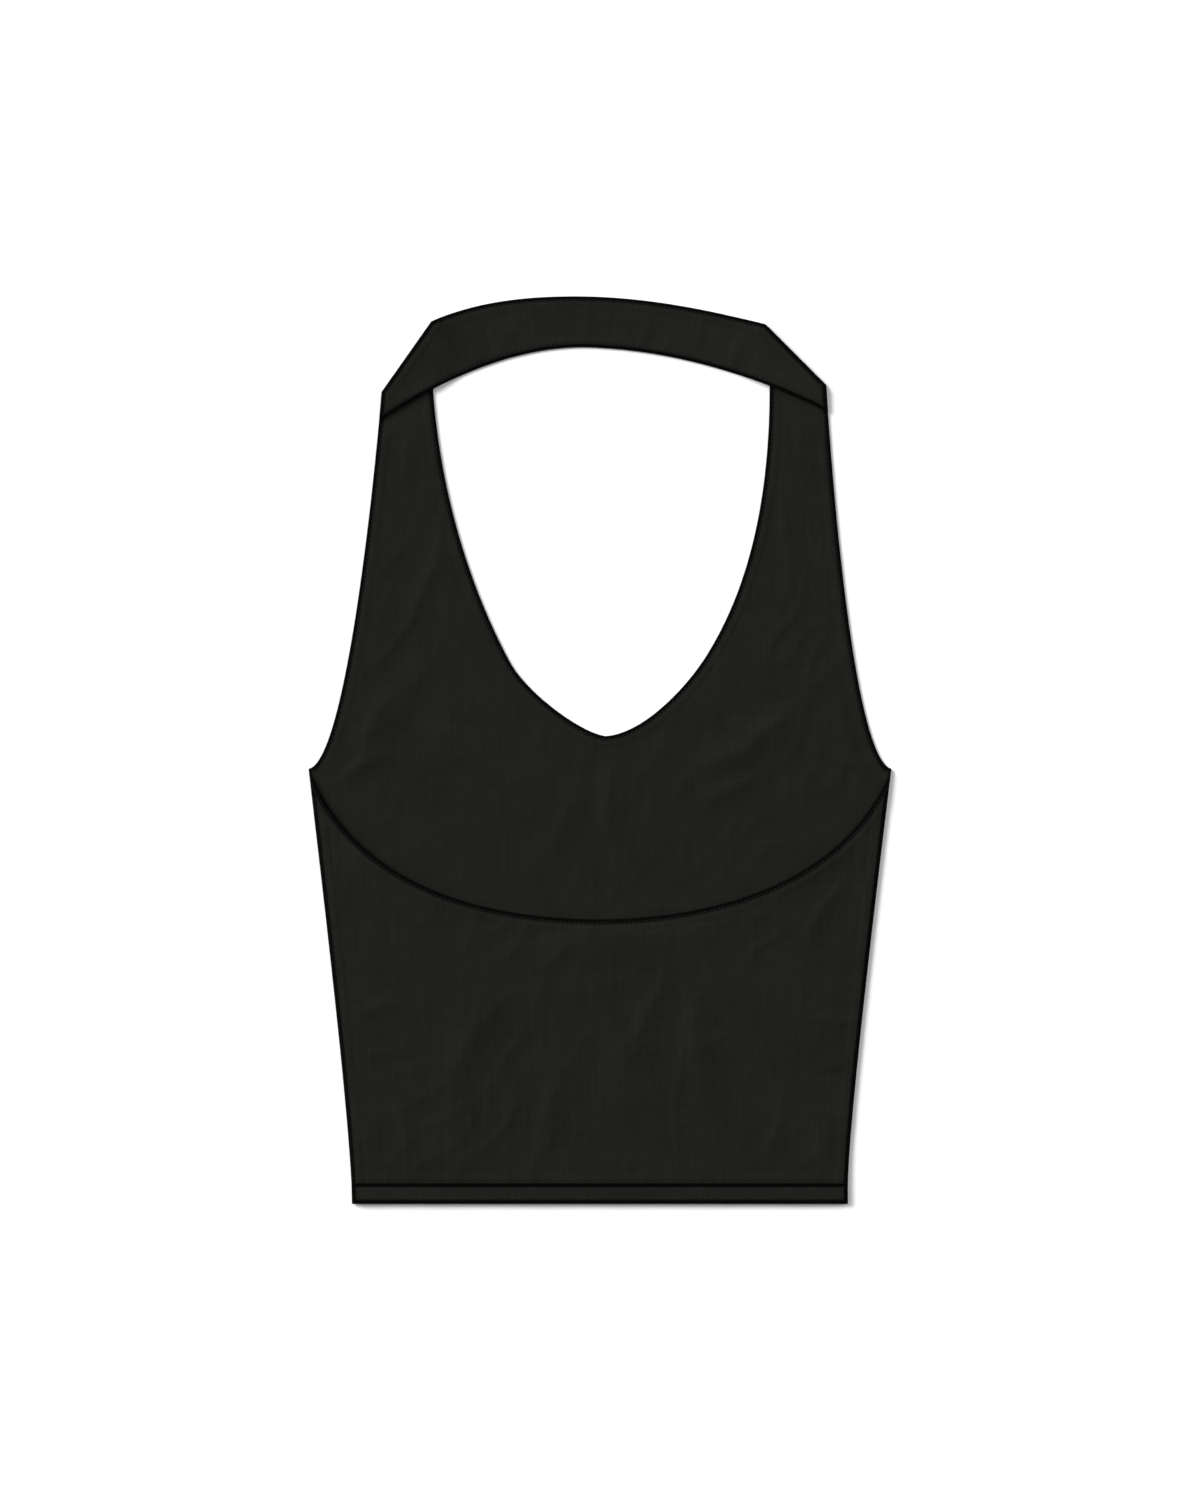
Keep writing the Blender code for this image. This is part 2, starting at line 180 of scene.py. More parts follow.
# Slow unevenness of cloth laid by hand: wave length, the way it runs, height, phase.
Wave = namedtuple("Wave", "length turn_deg height phase")
SWELL = [
    Wave(118.0, 12.0, 0.20, 0.4),
    Wave(84.0, 71.0, 0.16, 2.1),
    Wave(61.0, -38.0, 0.11, 4.0),
    Wave(149.0, -64.0, 0.18, 5.3),
]
# Small crumples between the creases: their spacing, height, and how much longer than wide they are.
Crumple = namedtuple("Crumple", "spacing height stretch turn_deg seed")
CRUMPLES = [
    Crumple(30.0, 0.66, 1.9, 58.0, 3),
    Crumple(17.0, 0.30, 1.6, 112.0, 8),
    Crumple(9.0, 0.10, 1.3, 20.0, 15),
]

# Rows of the front, from its outer edge to its inner one: a place on each side and the rows that lead to it.
Station = namedtuple("Station", "outer outer_at inner inner_at rows")
FRONT_STATIONS = [
    Station("side", 0.00, "centre", 0.00, 0),
    Station("side", 0.60, "centre", 0.56, 18),
    Station("side", 1.00, "centre", 0.91, 46),
    Station("armhole", 0.15, "centre", 1.00, 18),
    Station("armhole", 0.48, "neck_low", 1.00, 40),
    Station("armhole", 0.90, "neck_high", 0.90, 56),
    Station("armhole", 1.00, "strap_end", 1.00, 22),
]
RIM = [0.0, 0.05, 0.16, 0.34, 0.58, 0.85, 1.2, 1.65, 2.1, 2.55, 3.1, 4.0, 5.2, 6.6, 8.0]   # columns near an edge


# ------------------------------------------------------------------ curves
def edge_points(name, steps=120):
    e = EDGES[name]
    a, d = np.array(POINTS[e.start], float), np.array(POINTS[e.end], float)
    t = np.linspace(0.0, 1.0, steps + 1)[:, None]
    if e.leave_mm == 0.0 and e.arrive_mm == 0.0:
        return a + (d - a) * t
    out, back = math.radians(e.leave_deg), math.radians(e.arrive_deg)
    b = a + e.leave_mm * np.array([math.cos(out), math.sin(out)])
    c = d - e.arrive_mm * np.array([math.cos(back), math.sin(back)])
    return (1 - t) ** 3 * a + 3 * (1 - t) ** 2 * t * b + 3 * (1 - t) * t**2 * c + t**3 * d


class Chain:
    """Edges end to end, read by the length along them. A name that starts with "-" is run backwards."""

    def __init__(self, *names):
        runs, self.begins, length = [], {}, 0.0
        for name in names:
            p = edge_points(name.lstrip("-"))
            p = p[::-1] if name.startswith("-") else p
            here = float(np.linalg.norm(np.diff(p, axis=0), axis=1).sum())
            self.begins[name] = (length, here)
            length += here
            runs.append(p if not runs else p[1:])
        self.points = np.vstack(runs)
        self.along = np.concatenate([[0.0], np.cumsum(np.linalg.norm(np.diff(self.points, axis=0), axis=1))])
        self.length = float(self.along[-1])

    def place(self, name, fraction):
        begin, length = self.begins[name]
        return begin + fraction * length

    def at(self, lengths):
        lengths = np.asarray(lengths, float)
        return np.stack([np.interp(lengths, self.along, self.points[:, k]) for k in (0, 1)], axis=-1)

    def heading(self, lengths, reach=1.5):
        lengths = np.asarray(lengths, float)
        d = self.at(np.minimum(lengths + reach, self.length)) - self.at(np.maximum(lengths - reach, 0.0))
        return d / np.linalg.norm(d, axis=-1, keepdims=True)

    def near(self, points):
        """Each point's distance to the chain, and how far along it the nearest place is."""
        a, b = self.points[:-1], self.points[1:]
        ab = b - a
        ll = (ab * ab).sum(-1)
        dist, where = np.empty(len(points)), np.empty(len(points))
        for k in range(0, len(points), 4000):
            p = points[k:k + 4000]
            t = ((p[:, None, 0] - a[None, :, 0]) * ab[None, :, 0] + (p[:, None, 1] - a[None, :, 1]) * ab[None, :, 1]) / ll
            t = np.clip(t, 0.0, 1.0)
            dx = p[:, None, 0] - a[None, :, 0] - t * ab[None, :, 0]
            dy = p[:, None, 1] - a[None, :, 1] - t * ab[None, :, 1]
            d2 = dx * dx + dy * dy
            i = d2.argmin(1)
            r = np.arange(len(p))
            dist[k:k + 4000] = np.sqrt(d2[r, i])
            where[k:k + 4000] = self.along[i] + t[r, i] * np.sqrt(ll[i])
        return dist, where


# ------------------------------------------------------------------- grids
def rimmed(length, inner):
    """Places from 0 to length: close together near both ends, `inner` even steps between."""
    rim = np.array(RIM)
    if length < 2.2 * rim[-1]:
        rim = rim * (length / (2.2 * rim[-1]))
    return np.concatenate([rim, np.linspace(rim[-1], length - rim[-1], inner + 1)[1:-1], (length - rim)[::-1]])


def patch_between(outer, inner, inside):
    rows = []
    for a, b in zip(outer, inner):
        length = float(np.linalg.norm(b - a))
        t = (rimmed(length, inside) / length)[:, None]
        rows.append(a + (b - a) * t)
    return np.array(rows)


def patch_inside(low, high, left, right, u, v):
    """Grid inside four edges. u and v are the shares of each edge's length."""
    u, v = u[None, :, None], v[:, None, None]
    across = low[None] * (1 - v) + high[None] * v
    along = left[:, None] * (1 - u) + right[:, None] * u
    corners = low[0] * (1 - u) * (1 - v) + low[-1] * u * (1 - v) + high[0] * (1 - u) * v + high[-1] * u * v
    return across + along - corners


def front_half(side):
    outer = Chain("side_" + side, "armhole_" + side)
    inner = Chain("centre", "neck_low_" + side, "neck_high_" + side, "strap_end_" + side)
    a_at, b_at = [outer.place("side_" + side, 0.0)], [0.0]
    for s in FRONT_STATIONS[1:]:
        a = outer.place("%s_%s" % (s.outer, side), s.outer_at)
        b = inner.place("centre" if s.inner == "centre" else "%s_%s" % (s.inner, side), s.inner_at)
        a_at += list(np.linspace(a_at[-1], a, s.rows + 1)[1:])
        b_at += list(np.linspace(b_at[-1], b, s.rows + 1)[1:])
    # finer rows at both ends, for the hem seam and the slanted seam
    a_at, b_at = np.array(a_at), np.array(b_at)
    k = np.arange(len(a_at), dtype=float)
    extra = [0.012, 0.04, 0.09, 0.18, 0.35, 0.65]
    rows = np.concatenate([[0.0], extra, k[1:-1], k[-1] - np.array(extra[::-1]), [k[-1]]])
    rows = np.unique(rows)
    return patch_between(outer.at(np.interp(rows, k, a_at)), inner.at(np.interp(rows, k, b_at)), 60)


def four_sided(low, high, left, right, across, up):
    """Grid inside four chains, with close rows and columns near every edge."""
    mean_u, mean_v = (low.length + high.length) / 2, (left.length + right.length) / 2
    u, v = rimmed(mean_u, across) / mean_u, rimmed(mean_v, up) / mean_v
    return patch_inside(low.at(u * low.length), high.at(u * high.length), left.at(v * left.length), right.at(v * right.length), u, v)


def back_grid():
    return four_sided(Chain("hem_seam"), Chain("scoop_fall", "scoop_rise"), Chain("side_left"), Chain("side_right"), 228, 120)


def hem_grid():
    return four_sided(Chain("hem_fold"), Chain("hem_seam"), Chain("hem_end_left"), Chain("hem_end_right"), 228, 4)


def band_grid():
    low, high = Chain("band_low_rise", "band_low_fall"), Chain("band_top_rise", "band_top_fall")
    ends = [Chain("band_end_" + s, "slant_" + s) for s in ("left", "right")]
    corner = [e.begins["band_end_" + s][1] for e, s in zip(ends, ("left", "right"))]
    mean_u = (low.length + high.length) / 2
    u = rimmed(mean_u, 200) / mean_u
    # rows across the band: its ends turn a corner, which keeps a row of its own
    width, turn = 34.0, 9.5
    v_mm = rimmed(width, 12)
    v_mm[np.abs(v_mm - turn).argmin()] = turn
    places = []
    for e, c in zip(ends, corner):
        places.append(np.where(v_mm <= turn, v_mm / turn * c, c + (v_mm - turn) / (width - turn) * (e.length - c)))
    return patch_inside(
        low.at(u * low.length), high.at(u * high.length), ends[0].at(places[0]), ends[1].at(places[1]), u, v_mm / width
    )


def shift_row(grid, row, dy):
    grid = grid.copy()
    grid[row, :, 1] += dy
    return grid


# ----------------------------------------------------------------- heights
def ease(t):
    t = np.clip(t, 0.0, 1.0)
    return t * t * (3.0 - 2.0 * t)


def round_over(d, radius, least=0.12):
    """From `least` at the edge to 1 at `radius` inside it, as a quarter circle."""
    t = np.clip(d / radius, 0.0, 1.0)
    return least + (1.0 - least) * np.sqrt(np.clip(1.0 - (1.0 - t) ** 2, 0.0, 1.0))


def between(d, begin, end, soft):
    return ease((d - begin) / soft + 0.5) * (1.0 - ease((d - end) / soft + 0.5))


def groove(d, at, width):
    return np.exp(-(((d - at) / width) ** 2))


def creases(points, folds):
    """Soft ridges that wander, with one flank steeper than the other and a shallow trough beside them."""
    z = np.zeros(len(points))
    for f in folds:
        a = math.radians(f.turn_deg)
        dx, dy = points[:, 0] - f.x, points[:, 1] - f.y
        along = (dx * math.cos(a) + dy * math.sin(a)) / (f.length / 2)
        near = np.clip(along, -1.0, 1.0)
        wander = 0.10 * f.width * np.sin(3.1 * near + 0.13 * f.x) + 0.05 * f.width * np.sin(7.3 * near + 0.21 * f.y)
        side = dy * math.cos(a) - dx * math.sin(a) - f.bow * (near**2 - 0.33) - wander
        w = f.width / 2 * (1.0 - 0.30 * f.lead * near) * np.where(side > 0, 0.74, 1.26)
        t = side / w
        ridge = np.exp(-1.9 * np.abs(t) ** 1.7) - 0.24 * np.exp(-(((t + 1.9) / 0.75) ** 2)) - 0.10 * np.exp(-(((t - 2.0) / 0.8) ** 2))
        shifted = near - 0.55 * f.lead * (1.0 - near**2)
        fade = np.where(np.abs(along) < 1, np.cos(shifted * math.pi / 2) ** 2, 0.0)
        z += f.height * ridge * fade
    return z


def noise(points, size, seed):
    """Smooth gradient noise between about -1 and 1, with a lattice `size` apart."""
    rng = np.random.default_rng(seed)
    turn = rng.uniform(0.0, 2 * math.pi, (64, 64))
    p = points / size + rng.uniform(0.0, 64.0, 2)
    cell = np.floor(p).astype(int)
    f = p - cell
    s = f**3 * (f * (f * 6.0 - 15.0) + 10.0)
    total = np.zeros(len(points))
    for i in (0, 1):
        for j in (0, 1):
            a = turn[(cell[:, 0] + i) % 64, (cell[:, 1] + j) % 64]
            dot = np.cos(a) * (f[:, 0] - i) + np.sin(a) * (f[:, 1] - j)
            total += dot * np.where(i, s[:, 0], 1 - s[:, 0]) * np.where(j, s[:, 1], 1 - s[:, 1])
    return total * 1.6


def crumpled(points, share=1.0):
    """Small uneven ridges that branch and fade, more in some places than in others."""
    warp = np.stack([noise(points, 70.0, 101), noise(points, 70.0, 102)], axis=1) * 13.0
    z = np.zeros(len(points))
    for c in CRUMPLES:
        a = math.radians(c.turn_deg)
        p = points + warp
        q = np.stack([(p[:, 0] * math.cos(a) + p[:, 1] * math.sin(a)) / c.stretch, p[:, 1] * math.cos(a) - p[:, 0] * math.sin(a)], axis=1)
        ridge = np.clip(1.0 - np.abs(noise(q, c.spacing, c.seed)) * 2.1, 0.0, 1.0)
        amount = 0.25 + 0.75 * ease(noise(points, 3.2 * c.spacing, c.seed + 50) + 0.45)
        z += c.height * (ridge**1.6 - 0.3) * amount
    return z * share


def swell(points, share=1.0):
    z = np.zeros(len(points))
    for w in SWELL:
        a = math.radians(w.turn_deg)
        z += w.height * np.sin(2 * math.pi * (points[:, 0] * math.cos(a) + points[:, 1] * math.sin(a)) / w.length + w.phase)
    return z * share


def puckers(along, inside, length, seed, gap, height, reach):
    """Short uneven wrinkles that start at a seam: `along` it, and `inside` it."""
    rng = np.random.default_rng(seed)
    z, s = np.zeros(len(along)), rng.uniform(0.3, 1.0) * gap
    while s < length:
        tall, wide = height * rng.uniform(0.25, 1.0), rng.uniform(1.8, 3.8)
        far, lean = reach * rng.uniform(0.45, 1.25), rng.uniform(-0.35, 0.35)
        t = (along - s - lean * inside) / (wide + 0.12 * inside)
        z += tall * np.exp(-(t**2)) * ease((inside - 0.8) / 2.5) * np.exp(-((inside / far) ** 2))
        s += gap * rng.uniform(0.55, 1.6)
    return z


SIDES = [Chain("side_left"), Chain("side_right")]
ARMHOLES = [Chain("armhole_left"), Chain("armhole_right")]
NECKLINE = Chain("-neck_high_left", "-neck_low_left", "neck_low_right", "neck_high_right")
SCOOP_EDGE = Chain("scoop_fall", "scoop_rise")
SEAM = Chain("hem_seam")
BAND_LOW = Chain("band_low_rise", "band_low_fall")
BAND_TOP = Chain("band_top_rise", "band_top_fall")
SLANTS = [Chain("slant_left"), Chain("slant_right")]
BAND_ENDS = [Chain("band_end_left"), Chain("band_end_right")]
HEM_ENDS = [Chain("hem_end_left"), Chain("hem_end_right")]
HEM_FOLD = Chain("hem_fold")


Skin = namedtuple("Skin", "low high edge inside out down up")   # inside and out: to the nearest boundary; down and up: turned over it


def nearest_of(chains, points):
    found = [c.near(points) for c in chains]
    return np.minimum.reduce([d for d, _ in found]), found


def outwards(chains, found, points):
    """Distance to the nearest of the chains, and the unit direction to it, which is across it where it is reached."""
    dist = np.stack([d for d, _ in found])
    best, out = dist.argmin(0), np.zeros((len(points), 2))
    for k, (chain, (d, s)) in enumerate(zip(chains, found)):
        head = chain.heading(s)
        across = np.stack([-head[:, 1], head[:, 0]], axis=1)
        to = chain.at(s) - points
        sure = d > 0.5
        sign = 1.0 if np.median(np.sign((to * across).sum(1))[sure]) > 0 else -1.0
        out[best == k] = (across * sign)[best == k]
    return dist.min(0), out


def above_scoop(points):
    """How far a point is above the scoop's edge, and 0 under the back."""
    d, s = SCOOP_EDGE.near(points)
    edge_y = np.interp(points[:, 0], SCOOP_EDGE.points[:, 0], SCOOP_EDGE.points[:, 1])
    return np.where((points[:, 1] > edge_y) | (points[:, 1] > UNDERARM), d, 0.0)


def below_band(points):
    """How far a point is below the neck band's lower edge, and 0 under the band."""
    d, s = BAND_LOW.near(points)
    edge_y = np.interp(points[:, 0], BAND_LOW.points[:, 0], BAND_LOW.points[:, 1])
    return np.where(points[:, 1] < edge_y, d, 0.0)


def front_heights(points):
    """The front panel, which lies flat on the surface."""
    arm, arms = nearest_of(ARMHOLES, points)
    neck, neck_s = NECKLINE.near(points)
    slant, slants = nearest_of(SLANTS, points)
    side, sides = nearest_of(SIDES, points)
    free = np.minimum(arm, neck)
    seam = points[:, 1] - HEM_BAND
    shown = ease(above_scoop(points) / 16.0) * ease((below_band(points) - 1.0) / 14.0)
    q = np.maximum(round_over(free, 0.8), 1.0 - ease((side - 0.4) / 3.0))      # whole at the underarm, where the back is sewn on
    high = WALL / 2 + WALL / 2 * q
    high += 0.34 * between(free, 1.0, 7.2, 1.6) * (0.25 + 0.75 * shown)
    high -= 0.30 * groove(free, STITCH_IN, 0.62) * (0.2 + 0.8 * shown)
    relief = creases(points, FRONT_FOLDS) + swell(points, 0.9) + crumpled(points) + 0.2
    relief = relief * shown * (0.12 + 0.88 * ease(free / 13.0))
    relief += shown * puckers(neck_s, neck, NECKLINE.length, 11, 15.0, 0.26, 11.0)
    for k, (d, s) in enumerate(arms):
        relief += shown * puckers(s, d, ARMHOLES[k].length, 21 + k, 17.0, 0.26, 12.0)
    high += np.maximum(relief, -0.35)
    down = WALL / 2 * (1.0 - q)
    up = WALL / 2 * (1.0 - q)
    up = np.maximum(up, 0.55 * (1.0 - round_over(seam, 0.9, 0.0)))
    up = np.maximum(up, WALL * 0.85 * (1.0 - round_over(slant, 1.5, 0.0)))
    up = np.maximum(up, WALL * 0.85 * (1.0 - round_over(side, 1.7, 0.0)))
    up = np.maximum(up, THREAD_BED * np.maximum(groove(free, STITCH_IN, 0.62), groove(seam, STITCH_IN, 0.62)))
    low = np.minimum(up, high - 0.12)
    inside, out = outwards([*ARMHOLES, NECKLINE, *SLANTS, *SIDES], [*arms, (neck, neck_s), *slants, *sides], points)
    return Skin(low, high, OUTLINE * free, inside, out, down, up)


def back_heights(points):
    """The back panel, which lies on the front."""
    side, sides = nearest_of(SIDES, points)
    scoop, scoop_s = SCOOP_EDGE.near(points)
    seam = points[:, 1] - HEM_BAND
    rise = HEM_WALL + (HEM_WALL - WALL) / 2 - WALL
    base = WALL + GAP + rise * ease(1.0 - seam / SEAM_RISE)
    calm = ease(side / 15.0) * ease((seam + 3.0) / 22.0)
    form = (creases(points, BACK_FOLDS) + swell(points) + crumpled(points + 400.0) + 0.45) * calm
    form *= 0.40 + 0.60 * ease((scoop + 3.0) / 14.0)
    base = base + np.maximum(form, -0.12)
    q = round_over(scoop, 0.8)
    wall = round_over(side, 2.1, 0.08)
    hold = np.maximum(q, 1.0 - ease((side - 0.4) / 3.0))            # whole at the underarm, where it is sewn to the front
    low = base + WALL / 2 * (1.0 - hold) * wall
    top = base + WALL
    top += 0.34 * between(scoop, 1.0, 7.4, 1.6)                     # turned edge along the scoop
    top += 0.42 * between(side, 1.6, 7.6, 2.2)                      # seam allowances at the sides
    top -= 0.30 * groove(scoop, STITCH_IN, 0.62)
    top += puckers(scoop_s, scoop, SCOOP_EDGE.length, 31, 16.0, 0.28, 13.0)
    for k, (d, s) in enumerate(sides):
        top += puckers(s, d, SIDES[k].length, 41 + k, 14.0, 0.30, 15.0) * ease(d / 3.0)
    wrinkle = puckers(points[:, 0] + HEM_HALF, seam, 2 * HEM_HALF, 51, 11.5, 0.34, 17.0)
    top += wrinkle
    low += wrinkle * 0.8
    top += 0.22 * between(seam, 0.8, 6.5, 1.8)
    top -= 0.26 * groove(seam, 2.0, 0.6)
    high = top - WALL / 2 * (1.0 - q) - 0.85 * (1.0 - round_over(seam, 0.9, 0.0))
    floor = WALL + GAP + 0.05
    high = floor + (high - floor) * wall
    low = np.minimum(low, high - 0.1)
    inside, out = outwards([*SIDES, SCOOP_EDGE], [*sides, (scoop, scoop_s)], points)
    edge = np.minimum(np.minimum(OUTLINE * side, SCOOP_LINE * scoop), seam + SEAM_LINE)
    return Skin(low, high, edge, inside, out, top - high, WALL / 2 * (1.0 - hold))


def band_heights(points):
    """The neck band: on the straps, and down to the surface between them."""
    low_d, low_s = BAND_LOW.near(points)
    top_d, top_s = BAND_TOP.near(points)
    slant, slants = nearest_of(SLANTS, points)
    end, ends = nearest_of(BAND_ENDS, points)
    free = np.minimum(np.minimum(low_d, top_d), end)
    base = (WALL + GAP) * ease((np.abs(points[:, 0]) - (STRAP_CLEAR - BAND_RAMP)) / BAND_RAMP)
    q = round_over(free, 0.8)
    wall = round_over(slant, 1.9, 0.08)
    low = base + np.maximum(WALL / 2 * (1.0 - q) * wall, THREAD_BED * groove(np.minimum(low_d, top_d), STITCH_IN, 0.62) * ease(slant / 4.0))
    top = base + WALL
    top += 0.30 * between(free, 1.0, 6.8, 1.6)
    top -= 0.28 * groove(np.minimum(free, slant), STITCH_IN, 0.62)
    top += (creases(points, BAND_FOLDS) + swell(points, 0.5) + crumpled(points, 0.7)) * ease(np.minimum(free, slant) / 8.0)
    top += puckers(low_s, low_d, BAND_LOW.length, 61, 13.0, 0.28, 9.0)
    top += puckers(top_s, top_d, BAND_TOP.length, 62, 18.0, 0.18, 8.0)
    top += 0.35 * between(slant, 1.5, 7.0, 2.0)
    high = top - WALL / 2 * (1.0 - q)
    floor = base + 0.05
    high = floor + (high - floor) * wall
    low = np.minimum(low, high - 0.1)
    chains = [BAND_LOW, BAND_TOP, *SLANTS, *BAND_ENDS]
    inside, out = outwards(chains, [(low_d, low_s), (top_d, top_s), *slants, *ends], points)
    edge = np.minimum(low_d, OUTLINE * np.minimum(np.minimum(top_d, end), slant))
    return Skin(low, high, edge, inside, out, top - high, WALL / 2 * (1.0 - q))


def hem_heights(points, base, upper):
    """A hem band half."""
    seam = HEM_BAND - points[:, 1]
    fold = points[:, 1]
    x = points[:, 0]
    side, sides = nearest_of(HEM_ENDS, points)
    q = round_over(fold, 1.0)
    up = HEM_WALL / 2 * (1.0 - q)
    top = base + HEM_WALL + 0.10 * between(fold, 1.5, 9.5, 3.0)
    if upper:
        top += puckers(x + HEM_HALF, seam, 2 * HEM_HALF, 51, 11.5, 0.28, 7.0) * ease(fold / 3.0)
        top += 0.08 * np.sin(x / 9.0 + 0.6 * np.sin(x / 23.0))
        high = top - HEM_WALL / 2 * (1.0 - q) - 0.85 * (1.0 - round_over(seam, 0.9, 0.0))
        edge = base + 0.05
        wall = round_over(side, 2.0, 0.08)
        high = edge + (high - edge) * wall
        up = up * wall
    else:
        up = np.maximum(up, 0.55 * (1.0 - round_over(seam, 0.9, 0.0)))
        up = np.maximum(up, HEM_WALL * 0.8 * (1.0 - round_over(side, 1.8, 0.0)))
        high = np.minimum(top - HEM_WALL / 2 * (1.0 - q), base + HEM_WALL + 0.12)
    low = np.minimum(base + up, high - 0.1)
    inside, out = outwards([*HEM_ENDS, HEM_FOLD], [*sides, HEM_FOLD.near(points)], points)
    return Skin(low, high, np.minimum(OUTLINE * np.minimum(fold, side), seam + SEAM_LINE), inside, out, top - high, up)


# ---------------------------------------------------------------- materials
def node(tree, kind, **values):
    n = tree.nodes.new(kind)
    for name, value in values.items():
        setattr(n, name, value)
    return n


def maths(tree, operation, a, b=None, c=None, clamp=False):
    n = node(tree, "ShaderNodeMath", operation=operation, use_clamp=clamp)
    for socket, value in zip(n.inputs, (a, b, c)):
        if value is None:
            continue
        if isinstance(value, (int, float)):
            socket.default_value = value
        else:
            tree.links.new(value, socket)
    return n.outputs[0]


def jersey(name, colour, wale=0.95, course=0.72, seed=0.0):
    """Fine plain knit: columns of small slanted loops, with a soft, faintly heathered surface."""
    material = bpy.data.materials.new(name)
    material.use_nodes = True
    tree = material.node_tree
    shader = tree.nodes["Principled BSDF"]
    shader.inputs["Metallic"].default_value = 0.0
    shader.inputs["Specular IOR Level"].default_value = 0.055
    shader.inputs["Specular Tint"].default_value = (1.0, 1.0, 0.90, 1.0)
    shader.inputs["Sheen Weight"].default_value = 0.004
    shader.inputs["Sheen Roughness"].default_value = 0.5
    grain = node(tree, "ShaderNodeAttribute", attribute_name="grain")
    rim = node(tree, "ShaderNodeAttribute", attribute_name="rim")
    split = node(tree, "ShaderNodeSeparateXYZ")
    tree.links.new(grain.outputs["Vector"], split.inputs[0])
    offset = node(tree, "ShaderNodeVectorMath", operation="ADD")
    offset.inputs[1].default_value = (seed * 37.0, seed * 11.0, seed * 5.0)
    tree.links.new(grain.outputs["Vector"], offset.inputs[0])

    def texture(scale, detail, rough, stretch=(1.0, 1.0, 1.0)):
        sized = node(tree, "ShaderNodeVectorMath", operation="MULTIPLY")
        sized.inputs[1].default_value = stretch
        tree.links.new(offset.outputs[0], sized.inputs[0])
        n = node(tree, "ShaderNodeTexNoise", noise_dimensions="3D")
        n.inputs["Scale"].default_value = scale
        n.inputs["Detail"].default_value = detail
        n.inputs["Roughness"].default_value = rough
        tree.links.new(sized.outputs[0], n.inputs["Vector"])
        return n.outputs["Fac"]

    fuzz = texture(2.1, 4.0, 0.65)                            # fibres
    streak = texture(0.55, 2.0, 0.6, (1.0, 0.045, 1.0))       # columns a little tighter or looser
    cross = texture(0.50, 2.0, 0.5, (0.05, 1.0, 1.0))         # and rows
    cloud = texture(0.035, 3.0, 0.55)                         # handling
    wobble = texture(0.30, 2.0, 0.5)
    # loops: each column has two legs that lean towards its middle
    column = maths(tree, "ADD", maths(tree, "DIVIDE", split.outputs["X"], wale), maths(tree, "MULTIPLY", wobble, 0.35))
    place = maths(tree, "SUBTRACT", maths(tree, "FRACT", column), 0.5)
    leg = maths(tree, "ABSOLUTE", place)
    lean = maths(tree, "MULTIPLY", leg, 1.25)
    row = maths(tree, "ADD", maths(tree, "DIVIDE", split.outputs["Y"], course), maths(tree, "SUBTRACT", lean, maths(tree, "MULTIPLY", wobble, 0.5)))
    loop = maths(tree, "MULTIPLY", maths(tree, "SINE", maths(tree, "MULTIPLY", row, 2 * math.pi)), 0.5)
    body = maths(tree, "SINE", maths(tree, "MULTIPLY", leg, 2 * math.pi))
    # painted shade: the knit pattern darkens the colour in the gaps between the loops; it also drives the bump below
    knit = maths(tree, "MULTIPLY", body, maths(tree, "ADD", loop, 0.75))
    # tone: painted shade in the gaps between the loops, faint heather, and painted shade, near black, along the edges
    # and the hem seam
    tone = maths(tree, "ADD", maths(tree, "MULTIPLY", knit, 0.52), 0.62)
    tone = maths(tree, "MULTIPLY", tone, maths(tree, "ADD", maths(tree, "MULTIPLY", fuzz, 0.90), 0.55))
    tone = maths(tree, "MULTIPLY", tone, maths(tree, "ADD", maths(tree, "MULTIPLY", streak, 0.60), 0.70))
    tone = maths(tree, "MULTIPLY", tone, maths(tree, "ADD", maths(tree, "MULTIPLY", cross, 0.30), 0.85))
    tone = maths(tree, "MULTIPLY", tone, maths(tree, "ADD", maths(tree, "MULTIPLY", cloud, 0.40), 0.80))
    tone = maths(tree, "MULTIPLY", tone, maths(tree, "SUBTRACT", 1.0, maths(tree, "MULTIPLY", rim.outputs["Fac"], 0.96)), clamp=False)
    mix = node(tree, "ShaderNodeMix", data_type="RGBA", clamp_factor=False)
    mix.inputs["A"].default_value = (0.0, 0.0, 0.0, 1.0)
    mix.inputs["B"].default_value = (*colour, 1.0)
    tree.links.new(tone, mix.inputs["Factor"])
    tree.links.new(mix.outputs["Result"], shader.inputs["Base Color"])
    rough = maths(tree, "ADD", maths(tree, "MULTIPLY", fuzz, 0.20), 0.60)
    rough = maths(tree, "ADD", rough, maths(tree, "MULTIPLY", rim.outputs["Fac"], 0.30), clamp=True)
    tree.links.new(rough, shader.inputs["Roughness"])
    bump = node(tree, "ShaderNodeBump")
    bump.inputs["Strength"].default_value = 0.6
    bump.inputs["Distance"].default_value = 0.00020
    height = maths(tree, "ADD", knit, maths(tree, "MULTIPLY", fuzz, 0.7))
    height = maths(tree, "ADD", height, maths(tree, "MULTIPLY", streak, 0.6))
    tree.links.new(height, bump.inputs["Height"])
    tree.links.new(bump.outputs["Normal"], shader.inputs["Normal"])
    return material


